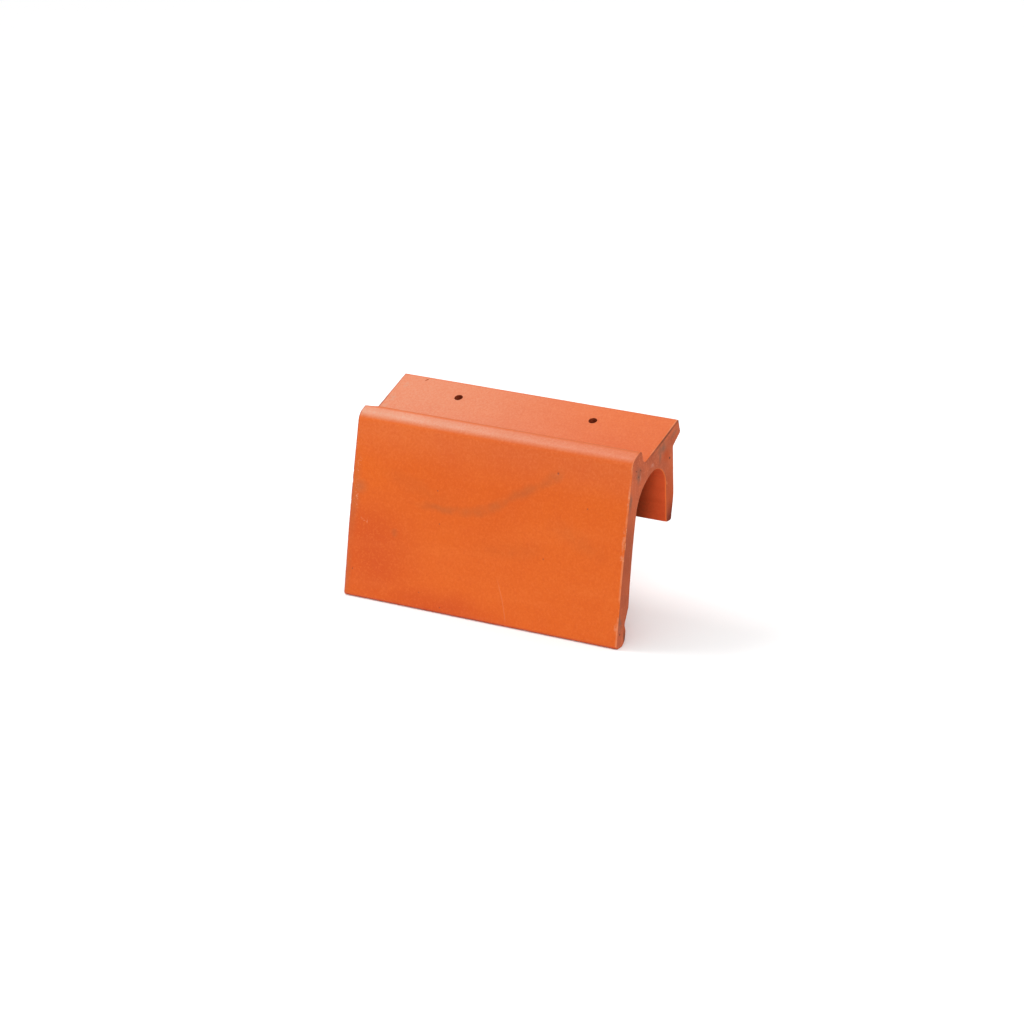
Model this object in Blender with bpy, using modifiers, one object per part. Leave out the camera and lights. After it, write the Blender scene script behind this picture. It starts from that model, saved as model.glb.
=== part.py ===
"""Clay roof edge tile: one extruded, fired clay piece with a nailed flange.

Metres, +Z up, +X along the tile, +Y to the back.
The origin is the middle of the flat face on the back leg, which bears on the board.
"""

import math

import bmesh
import bpy
from mathutils import Vector

# Whole tile
LENGTH = 0.300
END_ROUND = 0.0006
END_ROUND_STEPS = 2

# Back leg, whose flat outer face bears on the board
BOARD_FACE = 0.046
BACK_WALL = 0.014
FOOT_DROP = 0.023
FOOT_TAPER = 0.0052
FOOT_OUTER_RADIUS = 0.003
FOOT_INNER_RADIUS = 0.0022
FOOT_BEND_RADIUS = 0.045

# Nose, the back edge of the flange
NOSE_OVERHANG = 0.0131
NOSE_FACE = 0.0133
NOSE_LEAN = math.radians(14)
NOSE_SLOPE = math.radians(38)
NOSE_ROOT_RADIUS = 0.0025
NOSE_LOW_RADIUS = 0.003
NOSE_TOP_RADIUS = 0.0012

# Flange, which carries the nails
PITCH = math.radians(23)
FLANGE_DEPTH = 0.0657
GROOVE_RADIUS = 0.0036

# Upstand between the flange and the front face
UPSTAND_HEIGHT = 0.0143
UPSTAND_WIDTH = 0.0161
UPSTAND_FALL = math.radians(3.2)
LIP_OVERHANG = 0.0024
LIP_RADIUS = 0.0028
SHOULDER_RADIUS = 0.013

# Front leg, which shows
FRONT_FACE = 0.1719
FRONT_LEAN = math.radians(11.7)
FRONT_BULGE = 0.0015
FRONT_WALL = 0.0142
TOE_FRONT_RADIUS = 0.003
TOE_BACK_RADIUS = 0.0095
DRIP_HEIGHT = 0.0195
DRIP_BELOW = 0.0055
DRIP_ABOVE = 0.016
DRIP_DEPTH = 0.0028
DRIP_SWELL = 0.0012
DRIP_RADIUS = 0.0022
DRIP_EDGE_RADIUS = 0.0026

# Arch between the legs
ARCH_ROOF = 0.0163
ARCH_FRONT_RADIUS = 0.047
ARCH_BACK_RADIUS = 0.0175

# Nail holes, square to the flange
NAIL_HOLE_DIAMETER = 0.008
NAIL_HOLE_SPACING = 0.1475
NAIL_HOLE_SHIFT = -0.0033
NAIL_HOLE_EDGE = 0.0215
NAIL_HOLE_SIDES = 32
CUTTER_EXTRA = 0.004

# Smoothness of the round stretches
ARC_STEP = math.radians(6)
BULGE_STEPS = 8
SMOOTH_ANGLE = math.radians(30)
WELD_DISTANCE = 0.00001

# Fired clay, as linear colour
CLAY_COLOUR = (0.72, 0.165, 0.045, 1.0)
CLAY_ROUGHNESS = 0.62


def clear_scene():
    """Remove everything that the new file starts with."""
    for thing in list(bpy.data.objects):
        bpy.data.objects.remove(thing)


def new_collection(name):
    """Add a collection to the scene."""
    collection = bpy.data.collections.new(name)
    bpy.context.scene.collection.children.link(collection)
    return collection


def clay_material():
    """The material of the whole tile."""
    material = bpy.data.materials.new("fired_clay")
    material.use_nodes = True
    shader = material.node_tree.nodes["Principled BSDF"]
    shader.inputs["Base Color"].default_value = CLAY_COLOUR
    shader.inputs["Roughness"].default_value = CLAY_ROUGHNESS
    shader.inputs["Metallic"].default_value = 0.0
    return material


def heading(angle):
    """The direction in the YZ plane that rises at an angle to the back."""
    return Vector((math.cos(angle), math.sin(angle)))


def crossing(point_a, way_a, point_b, way_b):
    """The point where two lines in the YZ plane meet."""
    gap = point_b - point_a
    turn = way_a.x * way_b.y - way_a.y * way_b.x
    return point_a + way_a * ((gap.x * way_b.y - gap.y * way_b.x) / turn)


def bulged(start, end, bulge):
    """Points on the arc from start to end that bulges to the left of the way, without its ends."""
    way = end - start
    side = Vector((-way.y, way.x)).normalized()
    radius = way.length ** 2 / (8 * bulge) + bulge / 2
    half = math.asin(way.length / (2 * radius))
    centre = (start + end) / 2 - side * (radius - bulge)
    points = []
    for step in range(1, BULGE_STEPS):
        angle = half * (2 * step / BULGE_STEPS - 1)
        points.append(centre + way.normalized() * radius * math.sin(angle) + side * radius * math.cos(angle))
    return points


def rounded(corners):
    """Replace each (point, radius) corner of a closed outline by an arc that touches both its sides."""
    count = len(corners)
    points = [point for point, radius in corners]
    to_next = [(points[(i + 1) % count] - points[i]) for i in range(count)]
    turns = [to_next[i - 1].angle_signed(to_next[i]) for i in range(count)]
    reach = [corners[i][1] * math.tan(abs(turns[i]) / 2) for i in range(count)]
    room = [0.98 * to_next[i].length / max(reach[i] + reach[(i + 1) % count], WELD_DISTANCE) for i in range(count)]
    outline = []
    for i in range(count):
        scale = min(1.0, room[i - 1], room[i])
        if reach[i] * scale < WELD_DISTANCE:
            outline.append(points[i])
            continue
        radius = corners[i][1] * scale
        before = to_next[i - 1].normalized()
        after = to_next[i].normalized()
        to_centre = (after - before).normalized()
        centre = points[i] + to_centre * radius / math.cos(turns[i] / 2)
        steps = max(2, math.ceil(abs(turns[i]) / ARC_STEP))
        for step in range(steps + 1):
            swing = abs(turns[i]) * (step / steps - 0.5)
            along = (before + after).normalized()
            outline.append(centre + along * radius * math.sin(swing) - to_centre * radius * math.cos(swing))
    return outline


def nose_corners():
    """The back edge of the flange, from the board face up to the flange."""
    root = Vector((0.0, BOARD_FACE / 2))
    low = root + Vector((NOSE_OVERHANG, NOSE_OVERHANG * math.tan(NOSE_SLOPE)))
    top = low + heading(math.pi / 2 + NOSE_LEAN) * NOSE_FACE
    return [(root, NOSE_ROOT_RADIUS), (low, NOSE_LOW_RADIUS), (top, NOSE_TOP_RADIUS)]


def upstand_corners(nose_top):
    """The groove, the lip and the shoulder of the upstand."""
    up = heading(PITCH + math.pi / 2)
    groove = nose_top - heading(PITCH) * FLANGE_DEPTH
    lip = groove + up * UPSTAND_HEIGHT + heading(PITCH) * LIP_OVERHANG
    shoulder = lip - heading(PITCH + UPSTAND_FALL) * UPSTAND_WIDTH
    return [(groove, GROOVE_RADIUS), (lip, LIP_RADIUS), (shoulder, SHOULDER_RADIUS)]


def front_leg_corners(shoulder, roof_point):
    """The bulged front face, the toe, the drip groove and the leg's inner face up to the arch."""
    down = -heading(math.pi / 2 - FRONT_LEAN)
    inward = Vector((-down.y, down.x))
    toe_front = shoulder + down * FRONT_FACE
    inner_point = toe_front + inward * FRONT_WALL
    toe_back = crossing(inner_point, down, toe_front, Vector((1.0, 0.0)))
    arch_front = crossing(inner_point, down, roof_point, heading(PITCH))

    drip = toe_back - down * DRIP_HEIGHT
    drip_low = drip + down * DRIP_BELOW
    drip_root = drip - inward * DRIP_DEPTH
    drip_high = drip - down * DRIP_ABOVE + inward * DRIP_SWELL

    corners = [(point, 0.0) for point in bulged(toe_front, shoulder, FRONT_BULGE)][::-1]
    corners += [(toe_front, TOE_FRONT_RADIUS), (toe_back, TOE_BACK_RADIUS)]
    corners += [(drip_low, DRIP_EDGE_RADIUS), (drip_root, DRIP_RADIUS), (drip_high, DRIP_EDGE_RADIUS)]
    corners += [(point, 0.0) for point in bulged(drip_high, arch_front, FRONT_BULGE)[:-2]]
    corners.append((arch_front, ARCH_FRONT_RADIUS))
    return corners


def back_leg_corners(roof_point):
    """The back of the arch, the back leg's inner face and its tapered foot."""
    down = Vector((0.0, -1.0))
    inner = Vector((-BACK_WALL, 0.0))
    arch_back = crossing(inner, down, roof_point, heading(PITCH))
    foot_bend = Vector((0.0, -BOARD_FACE / 2))
    foot_outer = foot_bend + Vector((-FOOT_TAPER, -FOOT_DROP))
    foot_inner = Vector((-BACK_WALL, foot_outer.y))
    return [
        (arch_back, ARCH_BACK_RADIUS),
        (foot_inner, FOOT_INNER_RADIUS),
        (foot_outer, FOOT_OUTER_RADIUS),
        (foot_bend, FOOT_BEND_RADIUS),
    ]


def tile_outline():
    """The tile's cross-section as points of the YZ plane."""
    nose = nose_corners()
    nose_top = nose[-1][0]
    upstand = upstand_corners(nose_top)
    shoulder = upstand[-1][0]
    roof_point = nose_top - heading(PITCH + math.pi / 2) * ARCH_ROOF
    return rounded(nose + upstand + front_leg_corners(shoulder, roof_point) + back_leg_corners(roof_point))


def extruded(name, outline, collection):
    """A closed mesh made by extruding an outline of the YZ plane along X, centred on the YZ plane."""
    curve = bpy.data.curves.new(name + "_outline", "CURVE")
    curve.dimensions = "2D"
    curve.fill_mode = "BOTH"
    curve.extrude = LENGTH / 2
    spline = curve.splines.new("POLY")
    spline.points.add(len(outline) - 1)
    for place, point in zip(spline.points, outline):
        place.co = (point.x, point.y, 0.0, 1.0)
    spline.use_cyclic_u = True
    drawn = bpy.data.objects.new(name + "_outline", curve)
    drawn.rotation_euler = (math.pi / 2, 0.0, math.pi / 2)
    collection.objects.link(drawn)
    bpy.context.view_layer.update()

    mesh = bpy.data.meshes.new_from_object(drawn.evaluated_get(bpy.context.evaluated_depsgraph_get()))
    mesh.name = name
    welded = bmesh.new()
    welded.from_mesh(mesh)
    bmesh.ops.remove_doubles(welded, verts=welded.verts, dist=WELD_DISTANCE)
    bmesh.ops.recalc_face_normals(welded, faces=welded.faces)
    welded.to_mesh(mesh)
    welded.free()
    solid = bpy.data.objects.new(name, mesh)
    solid.matrix_world = drawn.matrix_world
    collection.objects.link(solid)
    bpy.data.objects.remove(drawn)
    return solid


def round_the_ends(tile):
    """Soften the edges where the clay was cut to length."""
    bevel = tile.modifiers.new("ends", "BEVEL")
    bevel.width = END_ROUND
    bevel.segments = END_ROUND_STEPS
    bevel.limit_method = "ANGLE"
    bevel.angle_limit = math.radians(60)


def nail_hole_cutter(name, across, nose_top, collection):
    """A cylinder square to the flange that comes out below the nose and through the board face."""
    up = heading(PITCH + math.pi / 2)
    mouth = nose_top - heading(PITCH) * NAIL_HOLE_EDGE
    front_side = mouth - heading(PITCH) * NAIL_HOLE_DIAMETER / 2
    to_board_face = -front_side.x / math.sin(PITCH)
    to_nose_root = nose_top.y - BOARD_FACE / 2
    depth = max(to_board_face, to_nose_root) + 2 * CUTTER_EXTRA
    middle = mouth - up * (depth / 2 - CUTTER_EXTRA)
    bpy.ops.mesh.primitive_cylinder_add(
        vertices=NAIL_HOLE_SIDES,
        radius=NAIL_HOLE_DIAMETER / 2,
        depth=depth,
        location=(across, middle.x, middle.y),
        rotation=(PITCH, 0.0, 0.0),
    )
    cutter = bpy.context.object
    cutter.name = name
    cutter.hide_render = True
    cutter.display_type = "WIRE"
    for owner in list(cutter.users_collection):
        owner.objects.unlink(cutter)
    collection.objects.link(cutter)
    return cutter


def cut(tile, cutter):
    """Cut one hole with the exact Boolean."""
    boolean = tile.modifiers.new(cutter.name, "BOOLEAN")
    boolean.operation = "DIFFERENCE"
    boolean.solver = "EXACT"
    boolean.object = cutter


def build():
    """Model the tile."""
    clear_scene()
    parts = new_collection("clay_roof_edge_tile")
    cutters = new_collection("cutters")
    nose_top = nose_corners()[-1][0]

    tile = extruded("edge_tile", tile_outline(), parts)
    tile.data.materials.clear()
    tile.data.materials.append(clay_material())
    round_the_ends(tile)
    for side, way in (("left", -1), ("right", 1)):
        across = NAIL_HOLE_SHIFT + way * NAIL_HOLE_SPACING / 2
        cut(tile, nail_hole_cutter("nail_hole_" + side, across, nose_top, cutters))
    tile.data.shade_smooth()
    tile.data.set_sharp_from_angle(angle=SMOOTH_ANGLE)


build()
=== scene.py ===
"""Looks of a clay roof edge tile: one extruded and fired clay piece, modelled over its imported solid.

Metres, +Z up, +X along the tile and +Y to the back, as in the solid.
"""

import logging
import math
from contextlib import contextmanager
from dataclasses import dataclass, field
from enum import Enum, IntEnum
from typing import Callable, Iterator

import bmesh
import bpy
from mathutils import Matrix, Vector


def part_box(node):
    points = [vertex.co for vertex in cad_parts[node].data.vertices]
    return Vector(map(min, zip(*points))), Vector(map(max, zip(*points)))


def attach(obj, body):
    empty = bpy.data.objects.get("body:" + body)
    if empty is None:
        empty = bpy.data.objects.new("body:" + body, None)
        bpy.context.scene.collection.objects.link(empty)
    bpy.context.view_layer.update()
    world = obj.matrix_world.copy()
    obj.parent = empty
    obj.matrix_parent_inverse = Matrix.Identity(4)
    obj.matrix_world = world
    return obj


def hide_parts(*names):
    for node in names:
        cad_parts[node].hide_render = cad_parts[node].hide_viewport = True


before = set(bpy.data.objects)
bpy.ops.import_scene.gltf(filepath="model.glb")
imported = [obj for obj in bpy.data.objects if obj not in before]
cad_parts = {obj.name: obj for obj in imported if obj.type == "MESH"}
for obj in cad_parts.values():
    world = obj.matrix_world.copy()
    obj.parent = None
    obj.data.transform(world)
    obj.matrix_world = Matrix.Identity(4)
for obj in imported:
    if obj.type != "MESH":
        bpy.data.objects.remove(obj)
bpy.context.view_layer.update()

NODE_NAME = "edge_tile"
BODY_NAME = "root"
WELD = 0.00001
SQUARE = 0.99
PITCH = 23.0

log = logging.getLogger("edge_tile")

Triple = tuple[float, float, float]
Colour = tuple[float, float, float]
Socket = bpy.types.NodeSocket
Value = Socket | float
Element = bmesh.types.BMVert | bmesh.types.BMEdge | bmesh.types.BMFace


class Dress(IntEnum):
    """The material slots of the tile."""

    SKIN = 0
    CUT_END = 1
    INSIDE = 2
    PUNCHED = 3
    BROKEN = 4
    NICKED = 5


class Solver(Enum):
    """What a cutter or an added lump does to the clay."""

    TAKE_OFF = "DIFFERENCE"
    ADD_ON = "UNION"


class MeshList(Enum):
    """The lists of a mesh that can be selected from, by the names that bmesh gives them."""

    VERT = "verts"
    EDGE = "edges"
    FACE = "faces"


# Bench tools: short calls that every class uses


def deselect_all() -> None:
    """Clear the selection of objects."""
    bpy.ops.object.select_all(action="DESELECT")


def pick(piece: bpy.types.Object) -> None:
    """Make one object the only selected one, and the active one.

    Args:
        piece: The object to work on.
    """
    deselect_all()
    piece.select_set(True)
    bpy.context.view_layer.objects.active = piece


@contextmanager
def editing(piece: bpy.types.Object) -> Iterator[None]:
    """Hold one object in edit mode.

    Args:
        piece: The object to edit, the only one selected from then on.

    Yields:
        Nothing, while the object is in edit mode.
    """
    pick(piece)
    bpy.ops.object.mode_set(mode="EDIT")
    yield
    bpy.ops.object.mode_set(mode="OBJECT")


def select(piece: bpy.types.Object, kind: MeshList, wanted: Callable[[Element], bool]) -> int:
    """Select the vertices, edges or faces that pass a test, in edit mode.

    Args:
        piece: The object in edit mode.
        kind: Which list is selected from.
        wanted: The test of one of its elements.

    Returns:
        How many were selected.
    """
    bpy.ops.mesh.select_mode(type=kind.name)
    bpy.ops.mesh.select_all(action="DESELECT")
    work = bmesh.from_edit_mesh(piece.data)
    found = [element for element in getattr(work, kind.value) if wanted(element)]
    for element in found:
        element.select_set(True)
    bmesh.update_edit_mesh(piece.data)
    return len(found)


def apply_place(piece: bpy.types.Object) -> None:
    """Move an object's place, turn and size into its mesh.

    Args:
        piece: The object to settle.
    """
    pick(piece)
    bpy.ops.object.transform_apply(location=True, rotation=True, scale=True)


def join_all(parts: list[bpy.types.Object], name: str) -> bpy.types.Object:
    """Join several objects into one.

    Args:
        parts: The objects, at least one.
        name: The name of the joined object.

    Returns:
        The joined object.
    """
    deselect_all()
    for part in parts:
        part.select_set(True)
    bpy.context.view_layer.objects.active = parts[0]
    if len(parts) > 1:
        bpy.ops.object.join()
    parts[0].name = name
    return parts[0]


def carve(piece: bpy.types.Object, tool: bpy.types.Object, solver: Solver) -> None:
    """Cut a tool out of the clay, or add it on, and throw the tool away.

    Args:
        piece: The clay piece.
        tool: The closed mesh to cut or to add.
        solver: Whether it is cut or added.
    """
    pick(piece)
    modifier = piece.modifiers.new("carve", "BOOLEAN")
    modifier.operation = solver.value
    modifier.solver = "EXACT"
    modifier.object = tool
    bpy.ops.object.modifier_apply(modifier=modifier.name)
    bpy.data.objects.remove(tool, do_unlink=True)


# Material tools


@dataclass(frozen=True)
class Patch:
    """A soft blot on the clay: its middle, its half sizes and its turn, in metres and degrees."""

    centre: Triple
    reach: Triple
    turn: Triple = (0.0, 0.0, 0.0)


@dataclass(frozen=True)
class Stain:
    """Blots of one colour, and how much of it shows in their middles."""

    patches: tuple[Patch, ...]
    colour: Colour
    share: float = 1.0


@dataclass(frozen=True)
class Ramp:
    """A soft step: where it starts and where it ends, and its values there."""

    low: float
    high: float
    start: float = 0.0
    end: float = 1.0


@dataclass(frozen=True)
class Grain:
    """A noise: its cells in a metre, finer layers, squeeze along each axis, shift and swirl."""

    scale: float
    detail: float = 2.0
    stretch: Triple = (1.0, 1.0, 1.0)
    shift: Triple = (0.0, 0.0, 0.0)
    distortion: float = 0.0


@dataclass(frozen=True)
class Wander:
    """How a mask's edges wander: noise cells in a metre, and how far a point is pushed, in metres."""

    scale: float
    amount: float


@dataclass(frozen=True)
class Relief:
    """A shading relief: what a height of 1 is in metres, and how much of it shows."""

    depth: float
    strength: float


class NodeBench:
    """Builds one node material on Object coordinates."""

    def __init__(self, name: str, roughness: float, specular: float) -> None:
        """Start a material.

        Args:
            name: The material's name.
            roughness: The shader's roughness where nothing drives it.
            specular: The shader's specular level.
        """
        self.material = bpy.data.materials.new(name)
        self.material.use_nodes = True
        self.tree = self.material.node_tree
        self.shader = self.tree.nodes["Principled BSDF"]
        self.shader.inputs["Roughness"].default_value = roughness
        self.shader.inputs["Specular IOR Level"].default_value = specular
        self.place = self.node("ShaderNodeTexCoord").outputs["Object"]
        axes = self.node("ShaderNodeSeparateXYZ")
        self.feed(self.place, axes.inputs[0])
        self.along, self.across, self.height = axes.outputs

    def node(self, kind: str, **settings: object) -> bpy.types.Node:
        """Add a node.

        Args:
            kind: The node's type name.
            settings: Its properties by name.

        Returns:
            The new node.
        """
        made = self.tree.nodes.new(kind)
        for name, value in settings.items():
            setattr(made, name, value)
        return made

    def feed(self, value: Value | Colour, target: Socket) -> None:
        """Link a socket to an input, or set the input's own value.

        Args:
            value: A socket, a number or a colour.
            target: The input.
        """
        if isinstance(value, bpy.types.NodeSocket):
            self.tree.links.new(value, target)
        elif isinstance(value, tuple) and len(value) == 3 and target.type == "RGBA":
            target.default_value = (*value, 1.0)
        else:
            target.default_value = value

    def maths(self, operation: str, first: Value, second: Value = 0.0) -> Socket:
        """One step of arithmetic.

        Args:
            operation: The name of the operation.
            first: Its first value.
            second: Its second value.

        Returns:
            The result.
        """
        made = self.node("ShaderNodeMath", operation=operation)
        self.feed(first, made.inputs[0])
        self.feed(second, made.inputs[1])
        return made.outputs[0]

    def product(self, first: Value, *others: Value) -> Value:
        """Several values multiplied, from the first to the last.

        Args:
            first: The first value.
            others: The other values.

        Returns:
            The product.
        """
        for other in others:
            first = self.maths("MULTIPLY", first, other)
        return first

    def remap(self, value: Value, ramp: Ramp) -> Socket:
        """Map a range softly to another one.

        Args:
            value: The value to map.
            ramp: Both ranges.

        Returns:
            The mapped value.
        """
        made = self.node("ShaderNodeMapRange", interpolation_type="SMOOTHSTEP")
        for name, number in (("Value", value), ("From Min", ramp.low), ("From Max", ramp.high),
                             ("To Min", ramp.start), ("To Max", ramp.end)):
            self.feed(number, made.inputs[name])
        return made.outputs["Result"]

    def noise(self, grain: Grain) -> Socket:
        """A noise value from 0 to 1.

        Args:
            grain: What the noise is like.

        Returns:
            The noise value.
        """
        mapping = self.node("ShaderNodeMapping")
        self.feed(self.place, mapping.inputs["Vector"])
        mapping.inputs["Location"].default_value = grain.shift
        mapping.inputs["Scale"].default_value = grain.stretch
        made = self.node("ShaderNodeTexNoise")
        self.feed(mapping.outputs[0], made.inputs["Vector"])
        made.inputs["Scale"].default_value = grain.scale
        made.inputs["Detail"].default_value = grain.detail
        made.inputs["Distortion"].default_value = grain.distortion
        return made.outputs["Fac"]

    def tint(self, mask: Value, under: Value | Colour, over: Value | Colour) -> Socket:
        """Lay one colour over another.

        Args:
            mask: How much of the upper colour shows.
            under: The lower colour.
            over: The upper colour.

        Returns:
            The mixed colour.
        """
        made = self.node("ShaderNodeMix", data_type="RGBA")
        self.feed(mask, made.inputs["Factor"])
        self.feed(under, made.inputs[6])
        self.feed(over, made.inputs[7])
        return made.outputs[2]

    def wobbled(self, wander: Wander) -> Socket:
        """Object coordinates pushed about by noise, for edges that wander.

        Args:
            wander: How they are pushed.

        Returns:
            The pushed coordinates.
        """
        made = self.node("ShaderNodeTexNoise")
        self.feed(self.place, made.inputs["Vector"])
        made.inputs["Scale"].default_value = wander.scale
        centred = self.node("ShaderNodeVectorMath", operation="SUBTRACT")
        self.feed(made.outputs["Color"], centred.inputs[0])
        centred.inputs[1].default_value = (0.5, 0.5, 0.5)
        scaled = self.node("ShaderNodeVectorMath", operation="SCALE")
        self.feed(centred.outputs[0], scaled.inputs[0])
        scaled.inputs["Scale"].default_value = wander.amount
        added = self.node("ShaderNodeVectorMath", operation="ADD")
        self.feed(scaled.outputs[0], added.inputs[0])
        self.feed(self.place, added.inputs[1])
        return added.outputs[0]

    def blot(self, patch: Patch, place: Socket, sharp: float = 0.0) -> Socket:
        """The mask of one blot, 1 in its middle and 0 past its reach.

        Args:
            patch: The blot.
            place: The coordinates that it is drawn on.
            sharp: From 0 for a soft blot towards 1 for a crisp one.

        Returns:
            The mask.
        """
        mapping = self.node("ShaderNodeMapping", vector_type="TEXTURE")
        self.feed(place, mapping.inputs["Vector"])
        mapping.inputs["Location"].default_value = patch.centre
        mapping.inputs["Rotation"].default_value = tuple(math.radians(angle) for angle in patch.turn)
        mapping.inputs["Scale"].default_value = patch.reach
        ball = self.node("ShaderNodeTexGradient", gradient_type="SPHERICAL")
        self.feed(mapping.outputs[0], ball.inputs["Vector"])
        return self.remap(ball.outputs["Fac"], Ramp(0.0, 1.0 - sharp))

    def blots(self, patches: tuple[Patch, ...], place: Socket, sharp: float = 0.0) -> Socket:
        """The mask of several blots together.

        Args:
            patches: The blots.
            place: The coordinates that they are drawn on.
            sharp: From 0 for soft blots towards 1 for crisp ones.

        Returns:
            The mask.
        """
        total = self.blot(patches[0], place, sharp)
        for patch in patches[1:]:
            total = self.maths("MAXIMUM", total, self.blot(patch, place, sharp))
        return total

    def stained(self, colour: Value | Colour, stain: Stain, place: Socket, breaks: Value = 1.0) -> Socket:
        """Lay a stain over a colour.

        Args:
            colour: The colour under it.
            stain: The stain.
            place: The coordinates that it is drawn on.
            breaks: What thins it out in places.

        Returns:
            The stained colour.
        """
        mask = self.product(self.blots(stain.patches, place), breaks, stain.share)
        return self.tint(mask, colour, stain.colour)

    def bump(self, height: Value, relief: Relief, under: Socket | None = None) -> Socket:
        """Turn a height into a shading relief.

        Args:
            height: The height, from 0 to 1.
            relief: How deep it is and how much of it shows.
            under: The relief that it is laid on.

        Returns:
            The relief.
        """
        made = self.node("ShaderNodeBump")
        made.inputs["Strength"].default_value = relief.strength
        made.inputs["Distance"].default_value = relief.depth
        self.feed(height, made.inputs["Height"])
        if under is not None:
            self.feed(under, made.inputs["Normal"])
        return made.outputs["Normal"]

    def finish(self, colour: Socket, normal: Socket, roughness: Value | None = None) -> bpy.types.Material:
        """Join the colour and relief to the shader.

        Args:
            colour: The base colour.
            normal: The relief.
            roughness: The roughness where it varies.

        Returns:
            The material.
        """
        self.feed(colour, self.shader.inputs["Base Color"])
        self.feed(normal, self.shader.inputs["Normal"])
        if roughness is not None:
            self.feed(roughness, self.shader.inputs["Roughness"])
        return self.material


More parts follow.
